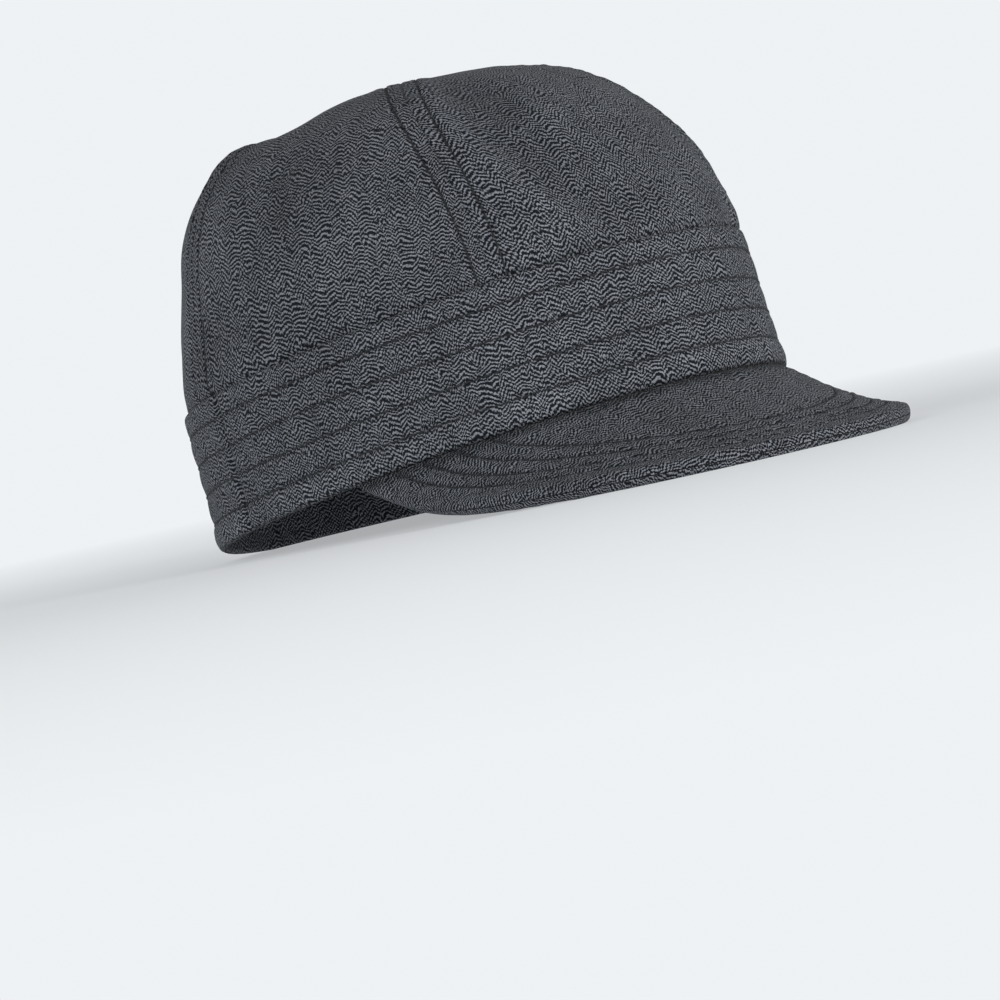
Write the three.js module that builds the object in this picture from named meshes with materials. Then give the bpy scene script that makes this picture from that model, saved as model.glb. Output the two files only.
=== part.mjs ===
// Soft work cap: a five-panel crown on a wide stitched band, with a short peak of two plies.
// Millimetres. The cap is shaped about the band: +Z up through the crown, the peak towards -Y and
// the wearer's right on -X. Angles run round the band from the centre front, negative to the right.
// It is then tipped back to lie on the floor, z = 0, on the peak's rim and the back of the band.
import * as THREE from "three";
import { mergeVertices } from "three/addons/utils/BufferGeometryUtils.js";

// Band
const BAND_HALF_LENGTH = 103.8;
const BAND_HALF_WIDTH = 83.4;
const BAND_FRONT_SQUARENESS = 2.07;
const BAND_BACK_SQUARENESS = 2.13;
const BAND_FRONT_TAPER = 0.133;
const BAND_HEIGHT = 44;
const BAND_TOP_TAPER = 0.0076;
const BAND_THICKNESS = 2;
const BAND_SECTIONS = 5;
const BAND_JOIN_ANGLE = 105;
const BAND_COLUMN_ANGLE = 6.2;
const BAND_PUFF = 0.35;
const BAND_EDGE_PUFF = 1;

// Crown
const CROWN_RISE = 77.6;
const CROWN_THICKNESS = 1.3;
const CROWN_STEP_IN = 2.4;
const CROWN_TUCK = 4;
const FRONT_ROUNDNESS = 2.29;
const BACK_ROUNDNESS = 4.75;
const TOP_ROUNDNESS = 2.14;
const FRONT_SEAM_ANGLE = 39.7;
const BACK_SEAM_ANGLE = 111;
const SEAM_LEAN = 6.5;
const SEAM_LEAN_UP = 0.6;
const SEAM_RISE = 0.6;
const SEAM_REACH = 6;
const RELIEF_START = 5;
const TIP_RADIUS = 0.8;
const COLUMN_CROWDING = 0.4;
const PANEL_ROWS = 14;
const COLUMN_ANGLE = 4.9;

// Peak
const PEAK_LENGTH = 62.4;
const PEAK_END_LENGTH = 2.5;
const PEAK_HALF_ANGLE = 76.2;
const PEAK_ROUNDNESS = 1.04;
const PEAK_FAN = 0.865;
const PEAK_DROOP = 41.9;
const PEAK_SIDE_DROOP = 39.2;
const PEAK_SIDE_SHARPNESS = 4.2;
const PEAK_UPTURN = 12.4;
const PEAK_UPTURN_SHARPNESS = 2.3;
const PEAK_THICKNESS = 5.3;
const PEAK_ROOT_INSET = 2.2;
const PEAK_RIM_ROUNDING = 0.1;
const PEAK_RIM_ROUNDING_SHARPNESS = 12;
const PEAK_ROW_CROWDING = 1.5;
const PEAK_COLUMNS = 28;
const PEAK_ROWS = 8;

// Pieces that meet keep this gap.
const GAP = 0.3;
const PLY_GAP = 0.6;

// Lying on the floor
const REST_TILT = 7.67;
const FLATTENED_DEPTH = 0.6;

// Soft dents and swells of the crown: where each is centred, how far it reaches, and its height.
const CROWN_FOLDS = [
  { name: "right_rear_hollow", angle: -118, up: 0.65, reach: 22, tall: 0.14, rise: -5 },
  { name: "right_rear_shoulder", angle: -128, up: 0.53, reach: 26, tall: 0.13, rise: 4.4 },
  { name: "front_top_slope", angle: 15, up: 0.75, reach: 60, tall: 0.2, rise: -1.2 },
  { name: "right_rear_side", angle: -127, up: 0.15, reach: 30, tall: 0.1, rise: -1.8 },
  { name: "front_left_swell", angle: 53, up: 0.17, reach: 25, tall: 0.12, rise: 2.2 },
  { name: "right_rear_top", angle: -120, up: 0.8, reach: 30, tall: 0.1, rise: 0.6 },
];

const NORMAL_STEP = 1e-3;

const radians = THREE.MathUtils.degToRad;
const lerp = THREE.MathUtils.lerp;

function signedPower(value, power) {
  return Math.sign(value) * Math.abs(value) ** power;
}

// The band's outer outline at its lower edge, slightly egg-shaped with the narrow end in front.
function bandOutline(angle) {
  const middle = (BAND_FRONT_SQUARENESS + BAND_BACK_SQUARENESS) / 2;
  const swing = (BAND_FRONT_SQUARENESS - BAND_BACK_SQUARENESS) / 2;
  const squareness = middle + swing * Math.cos(angle);
  const y = -BAND_HALF_LENGTH * signedPower(Math.cos(angle), 2 / squareness);
  const x = BAND_HALF_WIDTH * signedPower(Math.sin(angle), 2 / squareness);
  const taper = 1 + (BAND_FRONT_TAPER * y) / BAND_HALF_LENGTH;
  return new THREE.Vector3(x * taper, y, 0);
}

// Moves a point in along the level direction to the band's axis.
function inwards(point, depth) {
  const reach = Math.hypot(point.x, point.y);
  const scale = 1 - depth / reach;
  return new THREE.Vector3(point.x * scale, point.y * scale, point.z);
}

// The outward normal of a surface given by place(angle, up).
function normalOf(place, angle, up) {
  const upper = Math.min(up + NORMAL_STEP, 1);
  const along = place(angle + NORMAL_STEP, up).sub(place(angle - NORMAL_STEP, up));
  const rising = place(angle, upper).sub(place(angle, Math.max(up - NORMAL_STEP, 0)));
  return along.cross(rising).normalize();
}

// Band: puffed between its stitch rows, with a fuller folded edge below the lowest row.
function bandPuff(up) {
  const section = Math.min(Math.floor(up * BAND_SECTIONS), BAND_SECTIONS - 1);
  const within = up * BAND_SECTIONS - section;
  return (section === 0 ? BAND_EDGE_PUFF : BAND_PUFF) * Math.sin(Math.PI * within);
}

function bandPoint(angle, up, through) {
  const outline = bandOutline(angle).multiplyScalar(1 - BAND_TOP_TAPER * up);
  outline.z = BAND_HEIGHT * up;
  const depth = lerp(BAND_THICKNESS, -bandPuff(up), through);
  return inwards(outline, depth);
}

// Crown
function crownRoundness(angle) {
  const middle = (FRONT_ROUNDNESS + BACK_ROUNDNESS) / 2;
  const swing = (FRONT_ROUNDNESS - BACK_ROUNDNESS) / 2;
  return middle + swing * Math.cos(angle);
}

// The smooth crown, from its lower edge tucked behind the band at up = 0 to the top at up = 1.
function crownBase(angle, up) {
  const roundness = crownRoundness(angle);
  const turn = (Math.PI / 2) * (1 - (1 - up) ** (roundness / 2));
  const radius = Math.max(Math.cos(turn), 0) ** (2 / roundness);
  const height = Math.max(Math.sin(turn), 0) ** (2 / TOP_ROUNDNESS);
  const outline = inwards(bandOutline(angle), CROWN_STEP_IN);
  outline.multiplyScalar((1 - BAND_TOP_TAPER) * radius);
  outline.z = BAND_HEIGHT - CROWN_TUCK + (CROWN_RISE + CROWN_TUCK) * height;
  return outline;
}

function angleBetween(a, b) {
  const turn = Math.abs(a - b) % (2 * Math.PI);
  return Math.min(turn, 2 * Math.PI - turn);
}

const SEAM_ANGLES = [-BACK_SEAM_ANGLE, -FRONT_SEAM_ANGLE, FRONT_SEAM_ANGLE, BACK_SEAM_ANGLE, 180];

// Where a seam has got to, in radians: from its angle at the band the side seams lean back on their
// way up. The one at the centre back is straight.
function seamAt(angle, up) {
  const lean = Math.abs(angle) < 180 ? SEAM_LEAN * THREE.MathUtils.smoothstep(up, 0, SEAM_LEAN_UP) : 0;
  return radians(angle + Math.sign(angle) * lean);
}

// How far the cloth stands out from the smooth crown: seam ridges and soft folds, from the band up.
function crownRelief(angle, up) {
  const base = crownBase(angle, up);
  const radius = Math.hypot(base.x, base.y);
  let rise = 0;
  for (const seam of SEAM_ANGLES) {
    const distance = angleBetween(angle, seamAt(seam, up)) * radius;
    rise = Math.max(rise, SEAM_RISE * Math.exp(-((distance / SEAM_REACH) ** 2)));
  }
  for (const fold of CROWN_FOLDS) {
    const across = angleBetween(angle, radians(fold.angle)) / radians(fold.reach);
    const along = (up - fold.up) / fold.tall;
    rise += fold.rise * Math.exp(-(across ** 2) - along ** 2);
  }
  return rise * THREE.MathUtils.smoothstep(base.z, BAND_HEIGHT, BAND_HEIGHT + RELIEF_START);
}

function crownPoint(angle, up, through) {
  const normal = normalOf(crownBase, angle, up);
  const offset = crownRelief(angle, up) - lerp(CROWN_THICKNESS, 0, through);
  return crownBase(angle, up).addScaledVector(normal, offset);
}

// The share of the way up where the smooth crown has closed in to the tip's radius.
function tipHeight(angle) {
  let low = 0;
  let high = 1;
  while (high - low > 1e-9) {
    const up = (low + high) / 2;
    const base = crownBase(angle, up);
    if (Math.hypot(base.x, base.y) > TIP_RADIUS) low = up;
    else high = up;
  }
  return low;
}

// Peak: root under the band's lower edge, drooping more at its sides, with the rim turned up a little.
function peakMiddle(angle, out) {
  const share = angle / radians(PEAK_HALF_ANGLE);
  const fullness = Math.max(1 - share ** 2, 0) ** PEAK_ROUNDNESS;
  const length = lerp(PEAK_END_LENGTH, PEAK_LENGTH, fullness);
  const droop = radians(PEAK_DROOP + PEAK_SIDE_DROOP * Math.abs(share) ** PEAK_SIDE_SHARPNESS);
  const heading = PEAK_FAN * angle;
  const point = inwards(bandOutline(angle), PEAK_ROOT_INSET);
  point.z = -GAP - (PEAK_THICKNESS / 2) * Math.cos(droop);
  const reach = length * out;
  point.x += Math.sin(heading) * Math.cos(droop) * reach;
  point.y -= Math.cos(heading) * Math.cos(droop) * reach;
  point.z += -Math.sin(droop) * reach + (PEAK_UPTURN * out ** PEAK_UPTURN_SHARPNESS * length) / PEAK_LENGTH;
  return point;
}

// side is 1 for the top ply and -1 for the under ply; depth 0 is the face where the plies meet.
function peakPoint(angle, out, side, depth) {
  const towards = (turn, root) => peakMiddle(turn, 1 - root);
  const normal = normalOf(towards, angle, 1 - out);
  const half = (PEAK_THICKNESS / 2) * (1 - PEAK_RIM_ROUNDING * out ** PEAK_RIM_ROUNDING_SHARPNESS);
  return peakMiddle(angle, out).addScaledVector(normal, side * lerp(PLY_GAP / 2, half, depth));
}

// Tips the shaped cap back so that the rim of the peak and the back of the band lie on z = 0, and
// presses the cloth flat where it lies.
const layDown = new THREE.Matrix4().makeRotationX(-radians(REST_TILT));

const FLOOR = bandPoint(Math.PI, 0, 1).applyMatrix4(layDown).z + FLATTENED_DEPTH;

function onFloor(point) {
  point.applyMatrix4(layDown);
  point.z = Math.max(point.z - FLOOR, 0);
  return point;
}

// One closed piece of cloth: a box whose three shares, across, up and through, place(...) turns
// into a point.
function clothPiece(name, steps, place, material) {
  const box = new THREE.BoxGeometry(1, 1, 1, steps.across, steps.up, 1);
  box.translate(0.5, 0.5, 0.5);
  box.deleteAttribute("normal");
  box.deleteAttribute("uv");
  const geometry = mergeVertices(box, 1e-5);
  const position = geometry.getAttribute("position");
  for (let i = 0; i < position.count; i += 1) {
    const point = onFloor(place(position.getX(i), position.getY(i), position.getZ(i)));
    position.setXYZ(i, point.x, point.y, point.z);
  }
  geometry.computeVertexNormals();
  const mesh = new THREE.Mesh(geometry, material);
  mesh.name = name;
  return mesh;
}

function clothMaterial(color) {
  return new THREE.MeshStandardMaterial({ color, roughness: 0.95, metalness: 0 });
}

// Columns crowd towards a panel's seams, where the ridges are.
function crowded(share) {
  return share - (COLUMN_CROWDING * Math.sin(2 * Math.PI * share)) / (2 * Math.PI);
}

function crownPanel(name, from, to) {
  const steps = { across: Math.round((to - from) / COLUMN_ANGLE), up: PANEL_ROWS };
  const place = (across, up, through) => {
    const height = up * tipHeight(radians((from + to) / 2));
    const start = seamAt(from, height);
    const end = seamAt(to, height);
    const base = crownBase((start + end) / 2, height);
    const halfGap = GAP / 2 / Math.hypot(base.x, base.y);
    const angle = lerp(start + halfGap, end - halfGap, crowded(across));
    return crownPoint(angle, height, through);
  };
  return clothPiece(name, steps, place, clothMaterial(0x47494d));
}

function bandPiece(name, from, to) {
  const across = 2 * Math.round((to - from) / BAND_COLUMN_ANGLE / 2);
  const halfGap = GAP / 2 / BAND_HALF_WIDTH;
  const place = (share, up, through) => {
    const angle = lerp(radians(from) + halfGap, radians(to) - halfGap, share);
    return bandPoint(angle, up, through);
  };
  const steps = { across, up: 2 * BAND_SECTIONS };
  return clothPiece(name, steps, place, clothMaterial(0x424448));
}

function peakPly(name, side) {
  const place = (across, back, through) => {
    const angle = radians(lerp(-PEAK_HALF_ANGLE, PEAK_HALF_ANGLE, across));
    const out = 1 - back ** PEAK_ROW_CROWDING;
    return peakPoint(angle, out, side, side > 0 ? through : 1 - through);
  };
  return clothPiece(name, { across: PEAK_COLUMNS, up: PEAK_ROWS }, place, clothMaterial(0x3c3e42));
}

const group = new THREE.Group();
group.add(
  crownPanel("crown_front_panel", -FRONT_SEAM_ANGLE, FRONT_SEAM_ANGLE),
  crownPanel("crown_side_panel_right", -BACK_SEAM_ANGLE, -FRONT_SEAM_ANGLE),
  crownPanel("crown_side_panel_left", FRONT_SEAM_ANGLE, BACK_SEAM_ANGLE),
  crownPanel("crown_back_panel_right", -180, -BACK_SEAM_ANGLE),
  crownPanel("crown_back_panel_left", BACK_SEAM_ANGLE, 180),
  bandPiece("band_front", -BAND_JOIN_ANGLE, BAND_JOIN_ANGLE),
  bandPiece("band_back", BAND_JOIN_ANGLE, 360 - BAND_JOIN_ANGLE),
  peakPly("peak_top_cloth", 1),
  peakPly("peak_under_cloth", -1),
);

// The origin is on the floor, under the middle of the cap.
const size = new THREE.Box3().setFromObject(group);
group.position.set(-(size.min.x + size.max.x) / 2, -(size.min.y + size.max.y) / 2, 0);

export default group;
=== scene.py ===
"""A soft work cap of dark grey herringbone cloth, lying on a pale floor.

The cloth surfaces follow the shapes of the CAD pieces, in millimetres about the band: +Z up through
the crown, the peak towards -Y, the wearer's right on -X. Angles run round the band from the centre
front, negative to the right. They are then tipped back onto the floor and given in metres.
"""

import math

import bpy
import numpy as np
from mathutils import Matrix, Vector


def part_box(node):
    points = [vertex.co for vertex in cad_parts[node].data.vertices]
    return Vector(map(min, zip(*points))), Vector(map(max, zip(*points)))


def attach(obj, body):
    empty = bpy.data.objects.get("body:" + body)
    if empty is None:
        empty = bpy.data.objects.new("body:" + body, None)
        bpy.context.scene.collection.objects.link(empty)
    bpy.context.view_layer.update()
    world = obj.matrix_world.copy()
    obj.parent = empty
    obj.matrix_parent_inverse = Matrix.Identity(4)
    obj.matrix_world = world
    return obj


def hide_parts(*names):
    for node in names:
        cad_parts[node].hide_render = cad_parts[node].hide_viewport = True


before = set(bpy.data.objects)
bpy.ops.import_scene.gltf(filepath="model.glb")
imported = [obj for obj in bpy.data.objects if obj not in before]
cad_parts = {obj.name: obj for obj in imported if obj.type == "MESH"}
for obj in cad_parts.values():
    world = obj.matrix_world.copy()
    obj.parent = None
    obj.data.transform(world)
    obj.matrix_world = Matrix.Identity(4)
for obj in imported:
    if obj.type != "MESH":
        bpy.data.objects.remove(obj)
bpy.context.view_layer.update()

MM = 0.001

# Band, its rows of stitches counted up from the lower edge
BAND_HALF_LENGTH = 103.8
BAND_HALF_WIDTH = 83.4
BAND_FRONT_SQUARENESS = 2.07
BAND_BACK_SQUARENESS = 2.13
BAND_FRONT_TAPER = 0.133
BAND_HEIGHT = 44
BAND_TOP_TAPER = 0.0076
BAND_THICKNESS = 2
BAND_ROWS = (8.2, 17.6, 27.2, 36.8)
BAND_EDGE_ROUNDING = 0.95
BAND_HEM_DROP = 0.26
BAND_HEM_REACH = 3

# The band's puffs between its rows, and the join of its two pieces
BAND_PUFF = 0.42
BAND_EDGE_PUFF = 1.3
BAND_PUFF_POWER = 0.65
BAND_PUFF_STRETCH = 3.2
CAD_BAND_PUFFS = (1, 0.35, 0.35, 0.35, 0.35)
BAND_JOIN_ANGLE = 105
BAND_JOIN_DEPTH = 0.9
BAND_JOIN_WIDTH = 0.8
BAND_JOIN_REACH = 3

# Crown
CROWN_RISE = 77.6
CROWN_THICKNESS = 1.3
CROWN_STEP_IN = 2.4
CROWN_TUCK = 4
FRONT_ROUNDNESS = 2.29
BACK_ROUNDNESS = 4.75
TOP_ROUNDNESS = 2.14
TIP_RADIUS = 0.15

# The crown bulges over the band's upper edge, and is plain where it goes in behind the band
OVERHANG_RISE = 1.6
OVERHANG_UP = 4
OVERHANG_REACH = 9
OVERHANG_START = (-0.8, 2)
RELIEF_START = (-1, 3)

# Crown seams: a flat strip between two rows of stitches, with the join along its middle. Offsets and
# edges are from the join.
FRONT_SEAM_ANGLE = 39.7
BACK_SEAM_ANGLE = 111
SEAM_LEAN = 6.5
SEAM_LEAN_UP = 0.6
SEAM_GAP = 0.03
SEAM_STITCH_OFFSET = 4.9
SEAM_STRIP_RISE = 0.3
SEAM_STRIP_EDGE = (4.2, 5.2)
SEAM_SWELL_RISE = 0.35
SEAM_SWELL_OFFSET = 7.2
SEAM_SWELL_WIDTH = 2.6
SEAM_SWELL_EDGE = (4.6, 6.4)
SEAM_GROOVE_DEPTH = 0.35
SEAM_GROOVE_WIDTH = 0.4
SEAM_JOIN_DEPTH = 0.3
SEAM_JOIN_WIDTH = 0.5
SEAM_PUCKER_WIDTH = 3.2
CREASING_START = (2, 14)

# Where the panels meet at the top, their seams merge into one low rise
TIP_REACH = (3, 13)
TIP_RISE = 0.18

# Peak, its rows of stitches counted in from the rim
PEAK_LENGTH = 62.4
PEAK_END_LENGTH = 2.5
PEAK_HALF_ANGLE = 76.2
PEAK_ROUNDNESS = 1.04
PEAK_FAN = 0.865
PEAK_DROOP = 41.9
PEAK_SIDE_DROOP = 39.2
PEAK_SIDE_SHARPNESS = 4.2
PEAK_UPTURN = 12.4
PEAK_UPTURN_SHARPNESS = 2.3
PEAK_THICKNESS = 5.3
PEAK_ROOT_INSET = 2.2
PEAK_ROOT_GAP = 0.3
PEAK_ROOT_TUCK = 3
PEAK_PLY_GAP = 0.3
PEAK_EDGE_ROUNDING = 2.2
PEAK_EDGE_SQUARENESS = 2.4
PEAK_ROWS = (9.6, 15.2, 21.6, 28.0)
PEAK_RISE = 0.2
PEAK_GROOVE_DEPTH = 0.6
PEAK_GROOVE_WIDTH = 0.75
PEAK_RIM_REACH = (0.5, 3)
PEAK_ROOT_REACH = (0.5, 4)

# Lying on the floor
REST_TILT = 7.67
FLATTENED_DEPTH = 0.6

# Soft folds of the crown as in the CAD: centre and reach, in degrees round it and shares of the way
# up, and height
CROWN_SWELLS = [
    {"name": "right_rear_hollow", "angle": -118, "up": 0.65, "reach": 22, "tall": 0.14, "rise": -5},
    {"name": "right_rear_shoulder", "angle": -128, "up": 0.53, "reach": 26, "tall": 0.13, "rise": 4.4},
    {"name": "front_top_slope", "angle": 15, "up": 0.75, "reach": 60, "tall": 0.2, "rise": -1.2},
    {"name": "right_rear_side", "angle": -127, "up": 0.15, "reach": 30, "tall": 0.1, "rise": -1.8},
    {"name": "front_left_swell", "angle": 53, "up": 0.17, "reach": 25, "tall": 0.12, "rise": 2.2},
    {"name": "right_rear_top", "angle": -120, "up": 0.8, "reach": 30, "tall": 0.1, "rise": 0.6},
]

# Long narrow folds, each along a line through places on the crown, (angle, share of the way up)
CROWN_CREASES = [
    {
        "name": "front_ridge",
        "places": [(-39, 0.58), (-36.5, 0.3), (-31, 0.21), (-26, 0.145), (-20, 0.06)],
        "width": 4.5,
        "rise": 2.2,
    },
    {
        "name": "front_valley",
        "places": [(-24, 0.5), (-25, 0.34), (-21, 0.22), (-14, 0.13), (-8, 0.08)],
        "width": 9,
        "rise": -2.2,
    },
    {"name": "front_swell", "places": [(-10, 0.5), (-9, 0.3), (-4, 0.18)], "width": 11, "rise": 1.3},
    {"name": "side_hollow", "places": [(-88, 0.52), (-84, 0.4)], "width": 12, "rise": -1.0},
]

# Ripples of the cloth, each a sum of waves: height, usual length from crest to crest, and seed. The
# waves' lengths lie between two shares of the usual one. The first and the fourth kind are shares of
# a puff's height and of a row's shade.
RIPPLE_WAVES = 14
RIPPLE_LENGTHS = (0.7, 1.5)
RIPPLES = {
    "band_fullness": {"rise": 0.28, "length": 26, "seed": 40},
    "band_pucker": {"rise": 0.16, "length": 5.2, "seed": 50},
    "band_wave": {"rise": 0.1, "length": 11, "seed": 60},
    "band_stitch_shade": {"rise": 0.2, "length": 9, "seed": 80},
    "seam_pucker": {"rise": 0.2, "length": 4.4, "seed": 11},
    "crown_wave": {"rise": 0.3, "length": 34, "seed": 21},
    "crown_pucker": {"rise": 0.12, "length": 13, "seed": 22},
    "peak_pucker": {"rise": 0.12, "length": 4.6, "seed": 70},
    "peak_wave": {"rise": 0.1, "length": 12, "seed": 73},
}

# How much painted light lightens the cloth's colour where it stands out, a millimetre, and how much
# painted shade darkens it along stitches, joins, folded edges and the peak's root. 0 is the plain
# tone. Widths and reaches are those of the darker lines.
RIPPLE_SHADE = 0.35
CREASE_SHADE = 0.13
SEAM_JOIN_SHADE = 0.35
SEAM_JOIN_SHADE_WIDTH = 0.45
SEAM_STITCH_SHADE_WIDTH = 0.48
BAND_PUFF_SHADE = 0.3
BAND_STITCH_SHADE = 0.45
BAND_STITCH_SHADE_WIDTH = 0.8
BAND_FOLD_SHADE = 0.8
BAND_FOLD_REACH = 1.6
PEAK_PUCKER_SHADE = 0.5
PEAK_STITCH_SHADE = 0.75
PEAK_STITCH_SHADE_WIDTH = 0.7
PEAK_ROOT_SHADE = 0.9
PEAK_ROOT_SHADE_REACH = (1.5, 5)

# Mesh steps
BAND_COLUMN_STEP = 0.9
BAND_EDGE_STEPS = 6
BAND_ROW_STEPS = 15
BAND_ROW_CROWDING = 0.55
BAND_INNER_ROWS = 34
CROWN_GRID_ROWS = 170
CROWN_COLUMN_CROWDING = 0.72
CROWN_INNER_ROWS = 40
PEAK_COLUMNS = 260
PEAK_GRID_ROWS = 125
PEAK_ROW_CROWDING = 1.6
PEAK_INNER_ROWS = 24
OUTLINE_STEPS = 4000
RIM_STEPS = 400
SLOPE_STEP = 1e-4
SHARE_TOLERANCE = 1e-9

# Stitches: bent capsules. Their rings lie at these shares of the length, and are as wide and as high
# as these shares of the radius. Lengths and shifts vary by chance.
STITCH_PITCH = 3.2
STITCH_LENGTH = 2.85
STITCH_RADIUS = 0.3
STITCH_SIDES = 6
STITCH_RINGS = {
    "along": np.array([-0.5, -0.46, -0.3, 0, 0.3, 0.46, 0.5]),
    "width": np.array([0.25, 0.75, 1, 1, 1, 0.75, 0.25]),
    "lift": np.array([-1.2, -0.5, 0.3, 0.6, 0.3, -0.5, -1.2]),
}
STITCH_LENGTHS = (0.93, 1.05)
STITCH_SHIFT_ALONG = 0.07
STITCH_SHIFT_SIDEWAYS = 0.04
STITCH_SEEDS = {"crown": 200, "band": 300, "peak": 400}

# Numbers and vectors


def signed_power(value, power):
    return np.sign(value) * np.abs(value) ** power


def smooth(value, low, high):
    share = np.clip((value - low) / (high - low), 0, 1)
    return share * share * (3 - 2 * share)


def bump(value, centre, width):
    return np.exp(-(((value - centre) / width) ** 2))


def crowded(count, strength):
    """Shares from 0 to 1 that lie closer together near both ends."""
    share = np.linspace(0, 1, count)
    return share - strength * np.sin(2 * math.pi * share) / (2 * math.pi)


def ripples(points, kind, number=0):
    """Soft noise of one kind: waves of about its length in seeded directions."""
    ripple = RIPPLES[kind]
    rng = np.random.default_rng(ripple["seed"] + number)
    size = points.shape[-1]
    total = np.zeros(points.shape[:-1])
    for _ in range(RIPPLE_WAVES):
        direction = rng.normal(size=size)
        direction /= np.linalg.norm(direction)
        rate = 2 * math.pi / (ripple["length"] * rng.uniform(*RIPPLE_LENGTHS))
        total += np.cos(points @ (direction * rate) + rng.uniform(0, 2 * math.pi))
    return ripple["rise"] * total / math.sqrt(RIPPLE_WAVES)


def unit(vectors):
    return vectors / np.maximum(np.linalg.norm(vectors, axis=-1, keepdims=True), 1e-12)


def grid_normals(points):
    """Outward normals of a grid whose first direction is round the cap and second up or out."""
    along = np.gradient(points, axis=0)
    rising = np.gradient(points, axis=1)
    return unit(np.cross(along, rising))


def running_length(points):
    """The length along a line of points from its first one."""
    steps = np.linalg.norm(np.diff(points, axis=0), axis=-1)
    return np.concatenate([[0], np.cumsum(steps)])


def line_distance(points, start, end):
    span = end - start
    share = np.clip(((points - start) @ span) / (span @ span), 0, 1)
    return np.linalg.norm(points - start - share[..., None] * span, axis=-1)


def between(values, at):
    """The value at a place between two entries: 2.5 is half way from entry 2 to entry 3."""
    low = min(int(at), len(values) - 2)
    share = at - low
    return values[low] * (1 - share) + values[low + 1] * share


# Band shape


def band_outline(angle):
    middle = (BAND_FRONT_SQUARENESS + BAND_BACK_SQUARENESS) / 2
    swing = (BAND_FRONT_SQUARENESS - BAND_BACK_SQUARENESS) / 2
    squareness = middle + swing * np.cos(angle)
    y = -BAND_HALF_LENGTH * signed_power(np.cos(angle), 2 / squareness)
    x = BAND_HALF_WIDTH * signed_power(np.sin(angle), 2 / squareness)
    return np.stack([x * (1 + BAND_FRONT_TAPER * y / BAND_HALF_LENGTH), y], -1)


def inwards(level, depth):
    reach = np.linalg.norm(level, axis=-1)
    return level * (1 - depth / reach)[..., None]


def band_point(angle, height, depth):
    """A place on the band, depth in from its outline."""
    level = band_outline(angle) * (1 - BAND_TOP_TAPER * height / BAND_HEIGHT)[..., None]
    return np.concatenate([inwards(level, depth), height[..., None]], -1)


def band_relief(length, height):
    """How far the band's cloth stands out: puffed between the stitch rows and puckered across them."""
    edges = (0, *BAND_ROWS, BAND_HEIGHT)
    place = np.stack([length, height / BAND_PUFF_STRETCH], -1)
    relief = np.zeros(length.shape)
    for index, (low, high) in enumerate(zip(edges, edges[1:])):
        within = np.clip((height - low) / (high - low), 0, 1)
        arch = np.sin(math.pi * within) ** BAND_PUFF_POWER
        puff = BAND_EDGE_PUFF if index == 0 else BAND_PUFF
        fullness = 1 + ripples(place, "band_fullness", index)
        pucker = ripples(place, "band_pucker", index) + ripples(place, "band_wave", index)
        relief += arch * (puff * fullness + pucker)
    return relief


# Crown shape


def crown_base(angle, up):
    """The smooth crown, from its lower edge tucked behind the band at up = 0 to the top at 1."""
    middle = (FRONT_ROUNDNESS + BACK_ROUNDNESS) / 2
    swing = (FRONT_ROUNDNESS - BACK_ROUNDNESS) / 2
    roundness = middle + swing * np.cos(angle)
    turn = (math.pi / 2) * (1 - (1 - up) ** (roundness / 2))
    radius = np.maximum(np.cos(turn), 0) ** (2 / roundness)
    height = np.maximum(np.sin(turn), 0) ** (2 / TOP_ROUNDNESS)
    level = inwards(band_outline(angle), CROWN_STEP_IN)
    level = level * ((1 - BAND_TOP_TAPER) * radius)[..., None]
    z = BAND_HEIGHT - CROWN_TUCK + (CROWN_RISE + CROWN_TUCK) * height
    return np.concatenate([level, z[..., None]], -1)


def crown_normal(angle, up):
    upper, lower = np.minimum(up + SLOPE_STEP, 1), np.maximum(up - SLOPE_STEP, 0)
    along = crown_base(angle + SLOPE_STEP, up) - crown_base(angle - SLOPE_STEP, up)
    rising = crown_base(angle, upper) - crown_base(angle, lower)
    return unit(np.cross(along, rising))


def crown_place(angle, up):
    """One place on the smooth crown, from degrees and a share of the way up."""
    return crown_base(np.array([math.radians(angle)]), np.array([float(up)]))[0]


def seam_at(angle, up):
    """A seam's angle in radians, from degrees at the band: the side seams lean back as they rise."""
    lean = SEAM_LEAN * smooth(up, 0, SEAM_LEAN_UP) if abs(angle) < 180 else 0 * up
    return math.radians(angle) + math.copysign(1, angle) * np.radians(lean)


def seam_relief(distance, base, from_tip):
    """The seam's strip with its grooves, its join, the swell beside it and its puckers."""
    strip = SEAM_STRIP_RISE * (1 - smooth(distance, *SEAM_STRIP_EDGE))
    swell = SEAM_SWELL_RISE * bump(distance, SEAM_SWELL_OFFSET, SEAM_SWELL_WIDTH)
    strip += swell * smooth(distance, *SEAM_SWELL_EDGE)
    strip -= SEAM_GROOVE_DEPTH * bump(distance, SEAM_STITCH_OFFSET, SEAM_GROOVE_WIDTH)
    strip -= SEAM_JOIN_DEPTH * bump(distance, 0, SEAM_JOIN_WIDTH)
    pucker = ripples(base, "seam_pucker") * bump(distance, SEAM_STITCH_OFFSET, SEAM_PUCKER_WIDTH)
    return (strip + pucker) * from_tip + TIP_RISE * (1 - from_tip)


def swell_relief(angle, up):
    total = np.zeros(angle.shape)
    for swell in CROWN_SWELLS:
        turn = np.angle(np.exp(1j * (angle - math.radians(swell["angle"]))))
        across = turn / math.radians(swell["reach"])
        along = (up - swell["up"]) / swell["tall"]
        total += swell["rise"] * np.exp(-(across**2) - along**2)
    return total


def crease_relief(base):
    total = np.zeros(base.shape[:-1])
    for crease in CROWN_CREASES:
        places = [crown_place(*place) for place in crease["places"]]
        lines = [line_distance(base, *ends) for ends in zip(places, places[1:])]
        total += crease["rise"] * bump(np.min(lines, axis=0), 0, crease["width"])
    return total


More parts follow.
